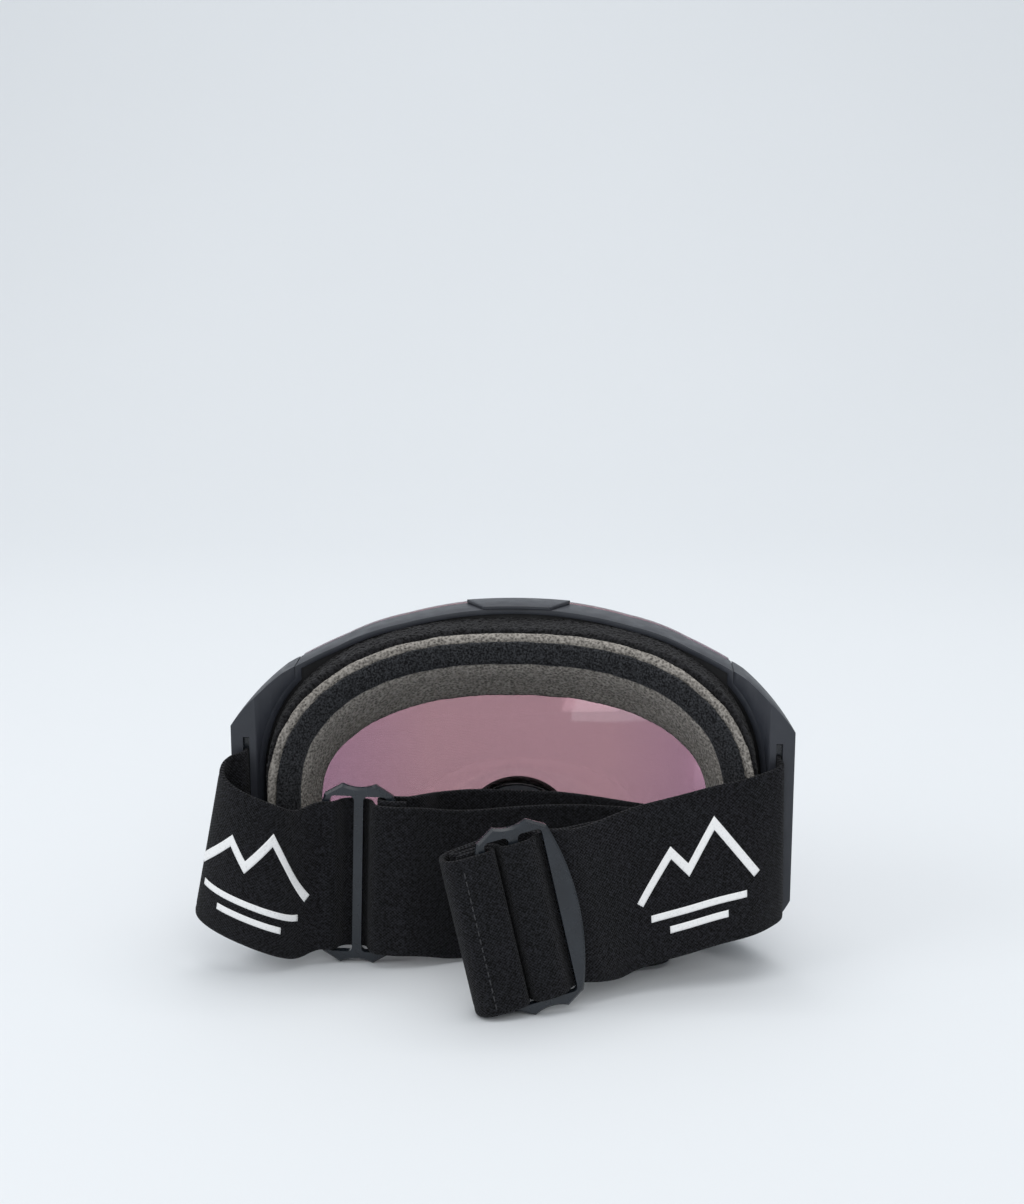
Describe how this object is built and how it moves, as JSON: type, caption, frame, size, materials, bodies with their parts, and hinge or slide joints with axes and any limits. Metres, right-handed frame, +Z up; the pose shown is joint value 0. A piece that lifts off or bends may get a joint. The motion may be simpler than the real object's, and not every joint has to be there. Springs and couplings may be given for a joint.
{
  "type": "ski goggles",
  "caption": "Wide ski goggles with a cylindrical tinted lens, layered face foam, corner outriggers and a folded elastic strap with sliders.",
  "frame": {"origin": "centre of the whole object's footprint, on the floor it stands on", "axes": "+Z up, +Y the way the lens faces, +X to the wearer's right-hand side as seen from behind the goggles"},
  "size_m": [0.1882, 0.1061, 0.1072],
  "materials": {
    "shell_plastic": "satin moulded charcoal plastic",
    "slider_plastic": "semi-gloss moulded dark plastic",
    "carrier_rubber": "soft matt black elastomer",
    "black_foam": "coarse open-cell black foam",
    "grey_foam": "open-cell warm grey foam",
    "fleece": "short-pile black fleece",
    "spacer_foam": "closed-cell black foam tape",
    "steel": "nickel plated",
    "tinted_lens": "polished, dusty pink tint with a mirror coat outside",
    "inner_pane": "clear anti-fog pane",
    "elastic": "woven black elastic webbing, printed",
    "print_white": "matt white screen print"
  },
  "bodies": {
    "root": {"frame_shell": "shell_plastic", "face_carrier": "carrier_rubber", "top_badge": "shell_plastic", "foam_base": "black_foam", "foam_middle": "grey_foam", "foam_face": "fleece", "outrigger_left": "shell_plastic", "outrigger_right": "shell_plastic", "outrigger_pins": "steel", "strap_anchor_left": "slider_plastic", "strap_anchor_right": "slider_plastic", "frame_magnets": "steel", "strap_band_left": "elastic", "strap_band_right": "elastic"},
    "lens": {"outer_lens": "tinted_lens", "inner_lens": "inner_pane", "lens_rim": "shell_plastic", "lens_spacer": "spacer_foam", "lens_magnets": "steel"},
    "slider_left": {"slider_left": "slider_plastic"},
    "slider_right": {"slider_right": "slider_plastic"}
  },
  "joints": [
    {"name": "lens_release", "type": "slide", "parent": "root", "child": "lens", "axis": [0, 1, 0], "range_m": [0, 0.04]},
    {"name": "slider_left_adjust", "type": "slide", "parent": "root", "child": "slider_left", "axis": [0.9995, 0, -0.0314], "range_m": [-0.005, 0.01], "deforming": ["strap_band_left", "strap_band_right"]},
    {"name": "slider_right_adjust", "type": "slide", "parent": "root", "child": "slider_right", "axis": [0.9409, 0.2698, 0.2046], "range_m": [0, 0.014], "deforming": ["strap_band_left", "strap_band_right"]}
  ]
}
